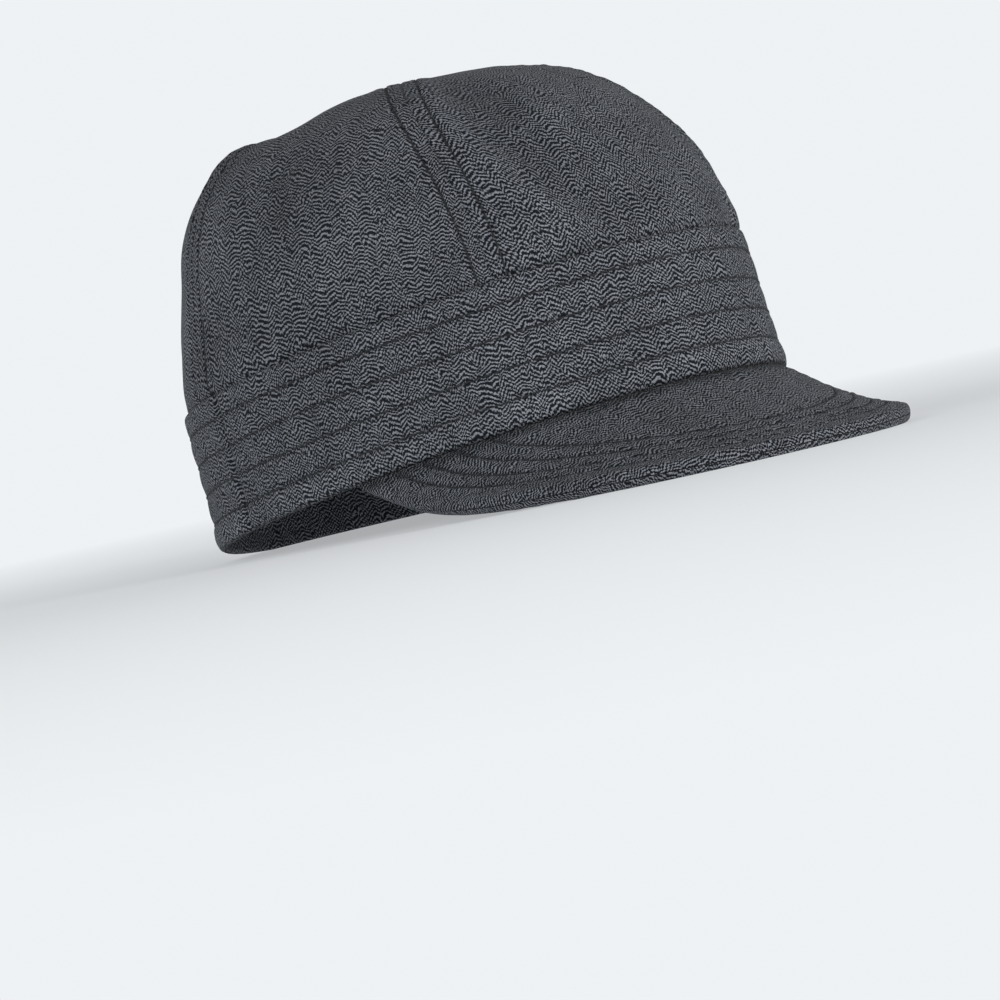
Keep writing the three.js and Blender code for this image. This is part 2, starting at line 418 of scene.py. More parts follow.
def crown_relief(angle, up, base, seams):
    """How far the crown's cloth stands out from the smooth crown for its seams and for its folds, and
    the painted light and shade of its colour: lighter on ripples and ridges, darker in valleys and
    along the seams' stitch grooves and join."""
    radius = np.hypot(base[..., 0], base[..., 1])
    offsets = [np.abs(angle - seam_at(seam, up)) * radius for seam in seams]
    distance = np.minimum(*offsets)
    from_tip = smooth(radius, *TIP_REACH)
    creases = crease_relief(base)
    creasing = ripples(base, "crown_wave") + ripples(base, "crown_pucker")
    folds = swell_relief(angle, up) + creases + creasing * smooth(distance, *CREASING_START)
    # Painted shade along the seam's stitch grooves and its join
    groove_shade = bump(distance, SEAM_STITCH_OFFSET, SEAM_STITCH_SHADE_WIDTH)
    groove_shade += SEAM_JOIN_SHADE * bump(distance, 0, SEAM_JOIN_SHADE_WIDTH)
    shade = RIPPLE_SHADE * creasing + CREASE_SHADE * creases - groove_shade * from_tip
    return seam_relief(distance, base, from_tip), folds, shade


def crown_panel_grid(start, end, columns):
    """Angles and shares up of a panel's grid, its columns crowded beside the seams, and the line of
    places up its middle."""
    low, high = 0.0, 1.0
    while high - low > SHARE_TOLERANCE:
        up = (low + high) / 2
        x, y, _ = crown_place((start + end) / 2, up)
        low, high = (up, high) if math.hypot(x, y) > TIP_RADIUS else (low, up)
    up = np.linspace(0, low, CROWN_GRID_ROWS)
    centre = crown_base(np.full(CROWN_GRID_ROWS, math.radians((start + end) / 2)), up)
    half_gap = SEAM_GAP / 2 / np.hypot(centre[:, 0], centre[:, 1])
    first, last = seam_at(start, up) + half_gap, seam_at(end, up) - half_gap
    share = crowded(columns, CROWN_COLUMN_CROWDING)
    angle = first + share[:, None] * (last - first)
    return angle, np.broadcast_to(up, angle.shape), centre


# Peak shape


def peak_length(angle):
    share = angle / math.radians(PEAK_HALF_ANGLE)
    fullness = np.maximum(1 - share**2, 0) ** PEAK_ROUNDNESS
    return PEAK_END_LENGTH + (PEAK_LENGTH - PEAK_END_LENGTH) * fullness


def peak_middle(angle, out):
    """The middle of the peak's thickness, from its root at out = 0 to its rim at 1."""
    share = angle / math.radians(PEAK_HALF_ANGLE)
    length = peak_length(angle)
    droop = np.radians(PEAK_DROOP + PEAK_SIDE_DROOP * np.abs(share) ** PEAK_SIDE_SHARPNESS)
    heading = PEAK_FAN * angle
    root = inwards(band_outline(angle), PEAK_ROOT_INSET)
    reach = length * out
    x = root[..., 0] + np.sin(heading) * np.cos(droop) * reach
    y = root[..., 1] - np.cos(heading) * np.cos(droop) * reach
    z = -PEAK_ROOT_GAP - PEAK_THICKNESS / 2 * np.cos(droop) - np.sin(droop) * reach
    upturn = PEAK_UPTURN * np.maximum(out, 0) ** PEAK_UPTURN_SHARPNESS
    z = z + upturn * length / PEAK_LENGTH
    return np.stack([x, y, z], -1)


def peak_flat(angle, out):
    """The same place on the peak's cloth laid flat."""
    root = inwards(band_outline(angle), PEAK_ROOT_INSET)
    heading = PEAK_FAN * angle
    reach = peak_length(angle) * out
    x = root[..., 0] + np.sin(heading) * reach
    y = root[..., 1] - np.cos(heading) * reach
    return np.stack([x, y], -1)


def peak_normal(angle, out):
    along = peak_middle(angle + SLOPE_STEP, out) - peak_middle(angle - SLOPE_STEP, out)
    inner, outer = np.maximum(out - SLOPE_STEP, 0), np.minimum(out + SLOPE_STEP, 1)
    rising = peak_middle(angle, inner) - peak_middle(angle, outer)
    return unit(np.cross(along, rising))


def rim_distance(angle, out):
    """How far in from the rim a place on the flat peak is."""
    turn = np.radians(np.linspace(-PEAK_HALF_ANGLE, PEAK_HALF_ANGLE, RIM_STEPS))
    rim = peak_flat(turn, np.ones(turn.shape))
    flat = peak_flat(angle, out)
    nearest = np.full(flat.shape[:-1], np.inf)
    for start, end in zip(rim, rim[1:]):
        nearest = np.minimum(nearest, line_distance(flat, start, end))
    return nearest


# Onto the floor

TIP_BACK = Matrix.Rotation(-math.radians(REST_TILT), 3, "X")
FLOOR = -math.sin(math.radians(REST_TILT)) * BAND_HALF_LENGTH + FLATTENED_DEPTH


def tipped(points):
    return points @ np.array(TIP_BACK).T


def middle_shift():
    """How far the CAD's cap was moved along Y to put its origin under the middle of its box."""
    steps = 2 * len(CAD_BAND_PUFFS)
    height = BAND_HEIGHT * np.arange(steps + 1) / steps
    puff = np.zeros(steps + 1)
    puff[1::2] = CAD_BAND_PUFFS
    back = tipped(band_point(np.full(steps + 1, math.pi), height, -puff))
    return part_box("band_back")[1][1] / MM - back[:, 1].max()


SHIFT = middle_shift()


def on_floor(points):
    """From millimetres about the band to metres in the frame, pressed flat where it lies."""
    world = tipped(points)
    world[..., 1] += SHIFT
    world[..., 2] = np.maximum(world[..., 2] - FLOOR, 0)
    return world * MM


# Meshes


def zipper(first, second):
    """Triangles between two lines of vertex numbers that run the same way."""
    faces = []
    on_first, on_second = 0, 0
    last_first, last_second = len(first) - 1, len(second) - 1
    while on_first < last_first or on_second < last_second:
        ahead_first = (on_first + 1) / last_first if on_first < last_first else 2
        ahead_second = (on_second + 1) / last_second if on_second < last_second else 2
        if ahead_first <= ahead_second:
            faces.append((first[on_first], first[on_first + 1], second[on_second]))
            on_first += 1
        else:
            faces.append((first[on_first], second[on_second + 1], second[on_second]))
            on_second += 1
    return faces


def closed_cloth(outer, inner):
    """Vertices and faces of one closed piece between an outer and an inner grid, with one number of
    columns. Rows run the same way in both."""
    columns, outer_rows = outer.shape[:2]
    rows = outer_rows + inner.shape[1]
    profile = np.concatenate([outer, inner[:, ::-1]], 1)
    number = np.arange(columns * rows).reshape(columns, rows)
    following = np.roll(number, -1, 1)
    quads = np.stack([number[:-1], number[1:], following[1:], following[:-1]], -1)
    faces = quads.reshape(-1, 4).tolist()
    first, last = number[0].tolist(), number[-1].tolist()
    faces += [face[::-1] for face in zipper(first[:outer_rows], first[outer_rows:][::-1])]
    faces += zipper(last[:outer_rows], last[outer_rows:][::-1])
    return profile, faces


def resampled(grid, rows):
    """The same grid with fewer rows."""
    at = np.linspace(0, grid.shape[1] - 1, rows).round().astype(int)
    return grid[:, at]


def with_inside(values, rows):
    """Values of an outer grid's cloth, followed by those of the fewer rows inside it."""
    return np.concatenate([values, resampled(values, rows)[:, ::-1]], 1)


def with_plain_inside(shade, rows):
    """Shades of an outer grid, followed by the plain tone of the rows inside it."""
    return np.concatenate([shade, np.zeros((shade.shape[0], rows))], 1)


def mesh_object(name, points, faces, cloth=None, relief=None):
    """points in metres; cloth is each vertex's place on the flat cloth, in millimetres."""
    mesh = bpy.data.meshes.new(name)
    mesh.from_pydata(points.reshape(-1, 3).tolist(), [], faces)
    mesh.polygons.foreach_set("use_smooth", [True] * len(mesh.polygons))
    if cloth is not None:
        corners = np.zeros(len(mesh.loops), dtype=np.int32)
        mesh.loops.foreach_get("vertex_index", corners)
        layer = mesh.uv_layers.new(name="cloth")
        layer.data.foreach_set("uv", cloth.reshape(-1, 2)[corners].astype(np.float32).ravel())
        # The relief attribute carries each vertex's painted light and shade value
        shade = mesh.attributes.new("relief", "FLOAT", "POINT")
        shade.data.foreach_set("value", relief.astype(np.float32).ravel())
    mesh.validate()
    made = bpy.data.objects.new(name, mesh)
    bpy.context.scene.collection.objects.link(made)
    return made


def at_lengths(vectors, length, at):
    """The vectors at some lengths along a line of them."""
    return np.stack([np.interp(at, length, axis) for axis in vectors.T], -1)


def stitches(path, normals, seed):
    """Points and faces of a row of stitches along a line: small bent capsules that dip at their
    ends. path and normals in metres."""
    rng = np.random.default_rng(seed)
    length = running_length(path)
    count = int(length[-1] / (STITCH_PITCH * MM))
    turn = np.arange(STITCH_SIDES) * 2 * math.pi / STITCH_SIDES
    points, faces = [], []
    for index in range(count):
        centre = (index + 0.5) * STITCH_PITCH * MM + rng.normal(0, STITCH_SHIFT_ALONG) * MM
        at = centre + STITCH_RINGS["along"] * STITCH_LENGTH * MM * rng.uniform(*STITCH_LENGTHS)
        at = np.clip(at, 0, length[-1])
        line = at_lengths(path, length, at)
        normal = unit(at_lengths(normals, length, at))
        forward = unit(line[-1] - line[0])
        side = unit(np.cross(normal, forward))
        line = line + side * rng.normal(0, STITCH_SHIFT_SIDEWAYS) * MM
        line = line + normal * (STITCH_RINGS["lift"] * STITCH_RADIUS * MM)[:, None]
        radius = STITCH_RINGS["width"] * STITCH_RADIUS * MM
        sideways = np.cos(turn)[None, :, None] * side[:, None]
        ring = sideways + np.sin(turn)[None, :, None] * normal[:, None]
        first = len(points) * STITCH_SIDES * len(radius)
        number = first + np.arange(len(radius) * STITCH_SIDES).reshape(-1, STITCH_SIDES)
        after = np.roll(number, -1, 1)
        quads = np.stack([number[:-1], after[:-1], after[1:], number[1:]], -1)
        faces += quads.reshape(-1, 4).tolist()
        faces += [number[0][::-1].tolist(), number[-1].tolist()]
        points.append(line[:, None] + ring * radius[:, None, None])
    return np.concatenate(points).reshape(-1, 3), faces


def thread_object(name, rows):
    """One object of several rows of stitches."""
    points, faces, first = [], [], 0
    for row_points, row_faces in rows:
        points.append(row_points)
        faces += [[first + vertex for vertex in face] for face in row_faces]
        first += len(row_points)
    return mesh_object(name, np.concatenate(points), faces)


# Materials

DARK_YARN = (0.0075, 0.0092, 0.0130, 1)
LIGHT_YARN = (0.250, 0.263, 0.288, 1)
DARK_THREAD = (0.003, 0.004, 0.006, 1)
LIGHT_THREAD = (0.012, 0.015, 0.021, 1)

THREAD_FIBRES_PER_MM = 5.2
THREAD_ROUGHNESS = (0.55, 0.8)

# The weave on the flat cloth, in millimetres: a line of light yarn climbs by the least to the most
# rise a millimetre, in part by steps a yarn wide. The light yarn's edges are on the weave's wave,
# which runs from -1 to 1 before noises break it.
YARN_STEP = 0.75
YARN_STEP_SHARE = 0.65
LEAST_CLIMB = 0.45
MOST_CLIMB = 1.4
LIGHT_YARN_EDGES = (-0.12, 1.08)
RAISED_YARN = 0.7
RAISED_FIBRE = 0.5
CLOTH_ROUGHNESS = (0.84, 0.96)

# Painted light and shade: the factor on the cloth's colour that a relief value gives, lowest for
# grooves and folds, highest for raised cloth
PAINTED_SHADING_VALUES = (-1, 0.25)
PAINTED_SHADING_TONES = (0.45, 1.14)

# Noises: bumps a millimetre, and what a low and a high value give: a sway in millimetres, an amount
# on the weave's wave, or a factor of the cloth's tone
USUAL_NOISE = (0.3, 0.7)
STREAK_STRETCH = 5
NOISES = {
    "column_sway": {"per_mm": 0.12, "values": (0.2, 0.8), "gives": (-1.3, 1.3)},
    "row_sway": {"per_mm": 0.16, "values": (0.2, 0.8), "gives": (-1.1, 1.1)},
    "yarn": {"per_mm": 2.1, "values": (0.25, 0.75), "gives": (-1.15, 1.15)},
    "slub": {"per_mm": 0.55, "values": USUAL_NOISE, "gives": (-0.3, 0.3)},
    "fibre": {"per_mm": 6, "values": USUAL_NOISE, "gives": (0.86, 1.14)},
    "streaks": {"per_mm": 0.15, "values": USUAL_NOISE, "gives": (0.91, 1.09)},
    "patches": {"per_mm": 0.028, "values": USUAL_NOISE, "gives": (0.88, 1.12)},
}


class Nodes:
    """Adds nodes to a material's tree and links them."""

    def __init__(self, tree):
        self.tree = tree

    def add(self, kind, **settings):
        node = self.tree.nodes.new(kind)
        for key, value in settings.items():
            setattr(node, key, value)
        return node

    def feed(self, socket, value):
        if isinstance(value, bpy.types.NodeSocket):
            self.tree.links.new(value, socket)
        else:
            socket.default_value = value

    def compute(self, operation, *values):
        node = self.add("ShaderNodeMath", operation=operation)
        for socket, value in zip(node.inputs, values):
            self.feed(socket, value)
        return node.outputs[0]

    def add_up(self, first, second):
        return self.compute("ADD", first, second)

    def times(self, first, second):
        return self.compute("MULTIPLY", first, second)

    def split(self, vector):
        node = self.add("ShaderNodeSeparateXYZ")
        self.feed(node.inputs[0], vector)
        return node.outputs

    def vector(self, x, y):
        node = self.add("ShaderNodeCombineXYZ")
        self.feed(node.inputs[0], x)
        self.feed(node.inputs[1], y)
        return node.outputs[0]

    def noise(self, vector, scale, detail=2.0, roughness=0.5):
        node = self.add("ShaderNodeTexNoise")
        self.feed(node.inputs["Vector"], vector)
        node.inputs["Scale"].default_value = scale
        node.inputs["Detail"].default_value = detail
        node.inputs["Roughness"].default_value = roughness
        return node.outputs["Fac"]

    def ramp(self, value, from_low, from_high, to_low=0.0, to_high=1.0, smooth_step=False):
        node = self.add("ShaderNodeMapRange")
        node.interpolation_type = "SMOOTHSTEP" if smooth_step else "LINEAR"
        for socket, number in zip(node.inputs, (value, from_low, from_high, to_low, to_high)):
            self.feed(socket, number)
        return node.outputs[0]

    def given(self, noise, kind, factor=1):
        """What a noise of one kind gives, times a factor."""
        low, high = NOISES[kind]["gives"]
        return self.ramp(noise, *NOISES[kind]["values"], low * factor, high * factor)

    def varied(self, cloth, kind, factor=1):
        """What a noise of one kind on the flat cloth gives, times a factor."""
        return self.given(self.noise(cloth, NOISES[kind]["per_mm"]), kind, factor)

    def mix(self, share, first, second):
        node = self.add("ShaderNodeMix", data_type="RGBA")
        self.feed(node.inputs[0], share)
        self.feed(node.inputs[6], first)
        self.feed(node.inputs[7], second)
        return node.outputs[2]

    def scaled(self, colour, factor):
        node = self.add("ShaderNodeVectorMath", operation="SCALE")
        self.feed(node.inputs[0], colour)
        self.feed(node.inputs["Scale"], factor)
        return node.outputs[0]

    def bumps(self, height, strength, distance):
        """A normal that a height disturbs, distance in millimetres."""
        node = self.add("ShaderNodeBump")
        node.inputs["Strength"].default_value = strength
        node.inputs["Distance"].default_value = distance * MM
        self.feed(node.inputs["Height"], height)
        return node.outputs[0]


def shader(material):
    material.use_nodes = True
    tree = material.node_tree
    tree.nodes.clear()
    nodes = Nodes(tree)
    output = nodes.add("ShaderNodeOutputMaterial")
    principled = nodes.add("ShaderNodeBsdfPrincipled")
    tree.links.new(principled.outputs[0], output.inputs["Surface"])
    return nodes, principled


def light_yarn_share(nodes, cloth, yarn, pitch, column, tall):
    """How much of a place is light yarn. Cells taller than wide, each with its own slope and start,
    break the zigzag's columns up."""
    u, v = nodes.split(cloth)[:2]
    across = nodes.times(nodes.add_up(u, nodes.varied(cloth, "column_sway")), 1 / column)
    cell = nodes.add("ShaderNodeTexVoronoi", voronoi_dimensions="2D", feature="F1")
    cell.inputs["Scale"].default_value = 1
    nodes.feed(cell.inputs["Vector"], nodes.vector(across, nodes.times(v, 1 / tall)))
    centre = nodes.split(cell.outputs["Position"])[0]
    start, steepness, half_start = nodes.split(cell.outputs["Color"])
    offset = nodes.compute("SUBTRACT", across, centre)
    away = nodes.compute("ABSOLUTE", offset)
    stairs = nodes.compute("SNAP", away, YARN_STEP / column)
    straight_part = nodes.times(away, 1 - YARN_STEP_SHARE)
    stepped = nodes.add_up(straight_part, nodes.times(stairs, YARN_STEP_SHARE))
    rows_a_cell = column / pitch
    slope = nodes.ramp(steepness, 0, 1, LEAST_CLIMB * rows_a_cell, MOST_CLIMB * rows_a_cell)
    climb = nodes.times(stepped, slope)
    second_half = nodes.compute("GREATER_THAN", offset, 0.0)
    jump = nodes.add_up(start, nodes.times(second_half, nodes.times(half_start, 0.5)))
    rows = nodes.times(nodes.add_up(v, nodes.varied(cloth, "row_sway")), 1 / pitch)
    phase = nodes.add_up(nodes.add_up(rows, climb), jump)
    wave = nodes.compute("SINE", nodes.times(phase, 2 * math.pi))
    broken = nodes.add_up(wave, nodes.given(yarn, "yarn"))
    broken = nodes.add_up(broken, nodes.varied(cloth, "slub"))
    return nodes.ramp(broken, *LIGHT_YARN_EDGES, smooth_step=True)


def cloth_tone(nodes, cloth, tone):
    """A factor for the cloth's colour: painted light and shade from its relief and stitched lines, and
    its uneven dye.
    """
    place = nodes.add("ShaderNodeTexCoord").outputs["Object"]
    patch_noise = nodes.noise(place, NOISES["patches"]["per_mm"] / MM, detail=3.0)
    patches = nodes.given(patch_noise, "patches")
    relief = nodes.add("ShaderNodeAttribute", attribute_name="relief").outputs["Fac"]
    # Painted light and shade: the relief attribute lightens raised cloth and darkens grooves, stitched
    # lines and folds
    painted_shading = nodes.ramp(relief, *PAINTED_SHADING_VALUES, *PAINTED_SHADING_TONES)
    fibre = nodes.varied(cloth, "fibre")
    u, v = nodes.split(cloth)[:2]
    long_way = nodes.vector(u, nodes.times(v, 1 / STREAK_STRETCH))
    streaks = nodes.varied(long_way, "streaks", tone)
    return nodes.times(nodes.times(nodes.times(patches, painted_shading), fibre), streaks)


def herringbone(name, pitch, column, tall, tone):
    """Zigzag rows of light yarn on dark: pitch is between rows, column the mean width of two columns
    and tall how far they go on, in millimetres on the flat cloth. All three vary."""
    material = bpy.data.materials.new(name)
    nodes, principled = shader(material)
    cloth = nodes.add("ShaderNodeUVMap", uv_map="cloth").outputs[0]
    yarn = nodes.noise(cloth, NOISES["yarn"]["per_mm"], roughness=0.6)
    share = light_yarn_share(nodes, cloth, yarn, pitch, column, tall)
    colour = nodes.scaled(nodes.mix(share, DARK_YARN, LIGHT_YARN), cloth_tone(nodes, cloth, tone))
    nodes.feed(principled.inputs["Base Color"], colour)
    height = nodes.add_up(nodes.times(share, RAISED_YARN), nodes.times(yarn, RAISED_FIBRE))
    nodes.feed(principled.inputs["Normal"], nodes.bumps(height, strength=0.55, distance=0.25))
    nodes.feed(principled.inputs["Roughness"], nodes.ramp(yarn, *USUAL_NOISE, *CLOTH_ROUGHNESS))
    principled.inputs["Specular IOR Level"].default_value = 0.1
    principled.inputs["Sheen Weight"].default_value = 0.03
    principled.inputs["Sheen Roughness"].default_value = 0.5
    return material


def thread_material():
    material = bpy.data.materials.new("black_thread")
    nodes, principled = shader(material)
    place = nodes.add("ShaderNodeTexCoord").outputs["Object"]
    fibre = nodes.noise(place, THREAD_FIBRES_PER_MM / MM, detail=1.0)
    nodes.feed(principled.inputs["Base Color"], nodes.mix(fibre, DARK_THREAD, LIGHT_THREAD))
    nodes.feed(principled.inputs["Normal"], nodes.bumps(fibre, strength=0.4, distance=0.05))
    nodes.feed(principled.inputs["Roughness"], nodes.ramp(fibre, 0, 1, *THREAD_ROUGHNESS))
    return material


crown_cloth = herringbone("crown_herringbone", pitch=1.5, column=4.0, tall=12, tone=0.97)
band_cloth = herringbone("band_herringbone", pitch=1.38, column=3.8, tall=10, tone=1.02)
peak_cloth = herringbone("peak_herringbone", pitch=1.28, column=3.2, tall=9, tone=0.94)
thread = thread_material()

# Pieces


def finish_piece(made, material):
    made.data.materials.append(material)
    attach(made, "root")


def woven(node, points, faces, cloth, relief):
    return mesh_object(f"{node}_woven", points, faces, cloth, relief)


def crown_panel(name, start, end, columns):
    """Makes a panel, and gives its grid's angles, shares up and outer places."""
    angle, up, centre = crown_panel_grid(start, end, columns)
    base, normal = crown_base(angle, up), crown_normal(angle, up)
    seam, folds, shade = crown_relief(angle, up, base, (start, end))
    above_band = base[..., 2] - BAND_HEIGHT
    fade = smooth(above_band, *RELIEF_START)
    overhang = OVERHANG_RISE * bump(above_band, OVERHANG_UP, OVERHANG_REACH)
    offset = (seam + folds) * fade + overhang * smooth(above_band, *OVERHANG_START)
    outer = base + normal * offset[..., None]
    inner = base + normal * (folds * fade - CROWN_THICKNESS)[..., None]
    inner = resampled(inner, CROWN_INNER_ROWS)

    length = running_length(centre)
    radius = np.hypot(base[..., 0], base[..., 1])
    middle = math.radians((start + end) / 2)
    cloth = np.stack([(angle - middle) * radius, np.broadcast_to(length, angle.shape)], -1)
    points, faces = closed_cloth(on_floor(outer), on_floor(inner))
    all_cloth = with_inside(cloth, CROWN_INNER_ROWS)
    all_shade = with_plain_inside(shade * fade, CROWN_INNER_ROWS)
    made = woven(name, points, faces, all_cloth, all_shade)
    finish_piece(made, crown_cloth)
    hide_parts(name)
    return angle, up, outer


def crown_stitch_rows(grid, start, end, seed):
    """The two rows beside a panel's seams, one at each of its sides."""
    angle, up, outer = grid
    radius = np.hypot(outer[..., 0], outer[..., 1])
    normals = grid_normals(outer)
    rows = []
    for side, seam in enumerate((start, end)):
        offset = np.abs(angle - seam_at(seam, up)) * radius
        order = slice(None) if side == 0 else slice(None, None, -1)
        path, facing = [], []
        for row in range(outer.shape[1]):
            line = offset[order, row]
            half = line[: len(line) // 2]
            below = outer[0, row, 2] < BAND_HEIGHT + RELIEF_START[0]
            if below or half[-1] < SEAM_STITCH_OFFSET:
                continue
            at = np.interp(SEAM_STITCH_OFFSET, half, np.arange(len(half)))
            path.append(between(outer[order, row], at))
            facing.append(between(normals[order, row], at))
        facing = tipped(np.array(facing))
        rows.append(stitches(on_floor(np.array(path)), facing, seed + side))
    return rows


def band_profile():
    """Heights, and shares through the band's thickness, of its outer face from lower to upper edge."""
    turn = np.linspace(0, math.pi / 2, BAND_EDGE_STEPS)
    lower = BAND_EDGE_ROUNDING * (1 - np.cos(turn))
    heights = [lower[:-1]]
    edges = (BAND_EDGE_ROUNDING, *BAND_ROWS, BAND_HEIGHT - BAND_EDGE_ROUNDING)
    share = crowded(BAND_ROW_STEPS, BAND_ROW_CROWDING)
    for low, high in zip(edges, edges[1:]):
        heights.append((low + (high - low) * share)[:-1])
    heights.append(BAND_HEIGHT - lower[::-1])
    height = np.concatenate(heights)
    edge = np.minimum(height, BAND_HEIGHT - height) / BAND_EDGE_ROUNDING
    return height, np.sqrt(np.clip(1 - (1 - np.minimum(edge, 1)) ** 2, 0, 1))


# Painted light and shade for the band's colour: lighter on its puffs, darker along its stitch rows and
# upper edge, and darker at its folded lower edge next to the peak
def band_shade(height, along, tall, outside):
    lines = (*BAND_ROWS, BAND_HEIGHT)
    groove_shade = sum(bump(height, line, BAND_STITCH_SHADE_WIDTH) for line in lines)
    uneven = ripples(np.stack([along, tall], -1), "band_stitch_shade")
    groove_shade = groove_shade * (BAND_STITCH_SHADE + uneven)
    folded_edge_shade = 1 - smooth(height, 0, BAND_FOLD_REACH)
    puffed = BAND_PUFF_SHADE * (outside - BAND_PUFF)
    return puffed - groove_shade - BAND_FOLD_SHADE * folded_edge_shade


def band_piece(name, start, end):
    """Makes a piece of the band, and gives its rows of stitches."""
    sweep = np.radians(np.linspace(start, end, OUTLINE_STEPS))
    length = running_length(band_outline(sweep))
    columns = int(length[-1] / BAND_COLUMN_STEP)
    middle = np.interp(math.radians((start + end) / 2), sweep, length)
    at = np.linspace(SEAM_GAP / 2, length[-1] - SEAM_GAP / 2, columns)
    height, through = band_profile()
    angle = np.interp(at, length, sweep)[:, None] + 0 * height
    along = (at - middle)[:, None] + 0 * height
    tall = height - BAND_HEM_DROP * (1 - smooth(height, 0, BAND_HEM_REACH)) + 0 * along
    from_end = np.minimum(at - at[0], at[-1] - at)[:, None]
    join = BAND_JOIN_DEPTH * bump(from_end, 0, BAND_JOIN_WIDTH)
    outside = band_relief(along, tall) * smooth(from_end, 0, BAND_JOIN_REACH) - join
    half_thickness = BAND_THICKNESS / 2
    outer = band_point(angle, tall, half_thickness - through * (half_thickness + outside))
    inner = band_point(angle, tall, half_thickness * (1 + through + 0 * along))
    inner = resampled(inner, BAND_INNER_ROWS)

    points, faces = closed_cloth(on_floor(outer), on_floor(inner))
    round_edge = running_length(np.stack([height, through * half_thickness], -1))
    cloth = with_inside(np.stack([along, round_edge + 0 * along], -1), BAND_INNER_ROWS)
    shade = with_plain_inside(band_shade(height, along, tall, outside), BAND_INNER_ROWS)
    made = woven(name, points, faces, cloth, shade)
    finish_piece(made, band_cloth)
    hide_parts(name)

    normals = grid_normals(outer)
    rows = []
    for index, row in enumerate(BAND_ROWS):
        nearest = int(np.argmin(np.abs(height - row)))
        path, facing = on_floor(outer[:, nearest]), tipped(normals[:, nearest])
        rows.append(stitches(path, facing, STITCH_SEEDS["band"] + index + int(abs(start))))
    return rows


def peak_cloth_places(surface, angle, out):
    """Places on the flat cloth: out from the root as far as the curved surface runs."""
    steps = np.linalg.norm(np.diff(surface[:, ::-1], axis=1), axis=-1)
    reach = np.concatenate([np.zeros((PEAK_COLUMNS, 1)), np.cumsum(steps, 1)], 1)[:, ::-1]
    heading = PEAK_FAN * angle
    outwards = np.stack([np.sin(heading), -np.cos(heading)], -1)
    return peak_flat(angle, np.zeros(out.shape)) + outwards * reach[..., None]


def peak_stitch_rows(surface, normal, distance, side):
    rows = []
    for index, row in enumerate(PEAK_ROWS):
        path, facing = [], []
        for column in range(PEAK_COLUMNS):
            if distance[column].max() <= row:
                continue
            at = np.interp(row, distance[column], np.arange(PEAK_GRID_ROWS))
            path.append(between(surface[column], at))
            facing.append(side * normal[column, min(int(at), PEAK_GRID_ROWS - 2)])
        path, facing = on_floor(np.array(path)), tipped(np.array(facing))
        rows.append(stitches(path, facing, STITCH_SEEDS["peak"] + index + 10 * side))
    return rows


def peak_ply(name, side, root_tuck):
    """Makes a ply of the peak, side 1 the upper and -1 the under one, that goes root_tuck in behind
    the band, and gives its rows of stitches."""
    angle = np.radians(np.linspace(-PEAK_HALF_ANGLE, PEAK_HALF_ANGLE, PEAK_COLUMNS))[:, None]
    share = np.linspace(0, 1, PEAK_GRID_ROWS)
    out = 1 - share**PEAK_ROW_CROWDING * (1 + root_tuck / peak_length(angle))
    angle, out = np.broadcast_arrays(angle, out)
    middle, normal = peak_middle(angle, out), peak_normal(angle, np.maximum(out, 0))
    flat = peak_flat(angle, out)
    from_root = peak_length(angle) * out
    distance = rim_distance(angle, out)
    within = np.clip(1 - distance / PEAK_EDGE_ROUNDING, 0, 1)
    depth = PEAK_THICKNESS / 2 - PEAK_PLY_GAP / 2
    face = PEAK_PLY_GAP / 2 + depth * np.sqrt(1 - within**PEAK_EDGE_SQUARENESS)
    grooves = PEAK_GROOVE_DEPTH * sum(bump(distance, row, PEAK_GROOVE_WIDTH) for row in PEAK_ROWS)
    pucker = ripples(flat, "peak_pucker", side) + ripples(flat, "peak_wave", side)
    fade = smooth(distance, *PEAK_RIM_REACH) * smooth(from_root, *PEAK_ROOT_REACH)
    relief = (PEAK_RISE - grooves + pucker) * fade
    surface = middle + normal * (side * (face + relief))[..., None]
    inner = resampled(middle + normal * side * PEAK_PLY_GAP / 2, PEAK_INNER_ROWS)

    # Painted light and shade for the peak's colour: lighter on raised puckers, darker along the stitch
    # rows, and a painted shadow of the band across the root
    groove_shade = sum(bump(distance, row, PEAK_STITCH_SHADE_WIDTH) for row in PEAK_ROWS)
    band_shadow = 1 - smooth(from_root, *PEAK_ROOT_SHADE_REACH)
    shade = PEAK_PUCKER_SHADE * pucker - PEAK_STITCH_SHADE * groove_shade - PEAK_ROOT_SHADE * band_shadow
    cloth = with_inside(peak_cloth_places(surface, angle, out), PEAK_INNER_ROWS)
    shade = with_plain_inside(shade, PEAK_INNER_ROWS)
    order = slice(None, None, side)
    points, faces = closed_cloth(on_floor(surface[order]), on_floor(inner[order]))
    made = woven(name, points, faces, cloth[order], shade[order])
    finish_piece(made, peak_cloth)
    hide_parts(name)
    return peak_stitch_rows(surface, normal, distance, side)


# Each panel of the crown: its name, the angles of its two seams, its columns, and what it rests on
PANELS = [
    ("crown_front_panel", -FRONT_SEAM_ANGLE, FRONT_SEAM_ANGLE, 170, "band_front"),
    ("crown_side_panel_right", -BACK_SEAM_ANGLE, -FRONT_SEAM_ANGLE, 150, "band_front"),
    ("crown_side_panel_left", FRONT_SEAM_ANGLE, BACK_SEAM_ANGLE, 150, "band_front"),
    ("crown_back_panel_right", -180, -BACK_SEAM_ANGLE, 160, "band_back"),
    ("crown_back_panel_left", BACK_SEAM_ANGLE, 180, 160, "band_back"),
]

crown_rows = []
for index, (name, start, end, columns, rests_on) in enumerate(PANELS):
    grid = crown_panel(name, start, end, columns)
    crown_rows += crown_stitch_rows(grid, start, end, STITCH_SEEDS["crown"] + 2 * index)
finish_piece(thread_object("crown_stitches", crown_rows), thread)

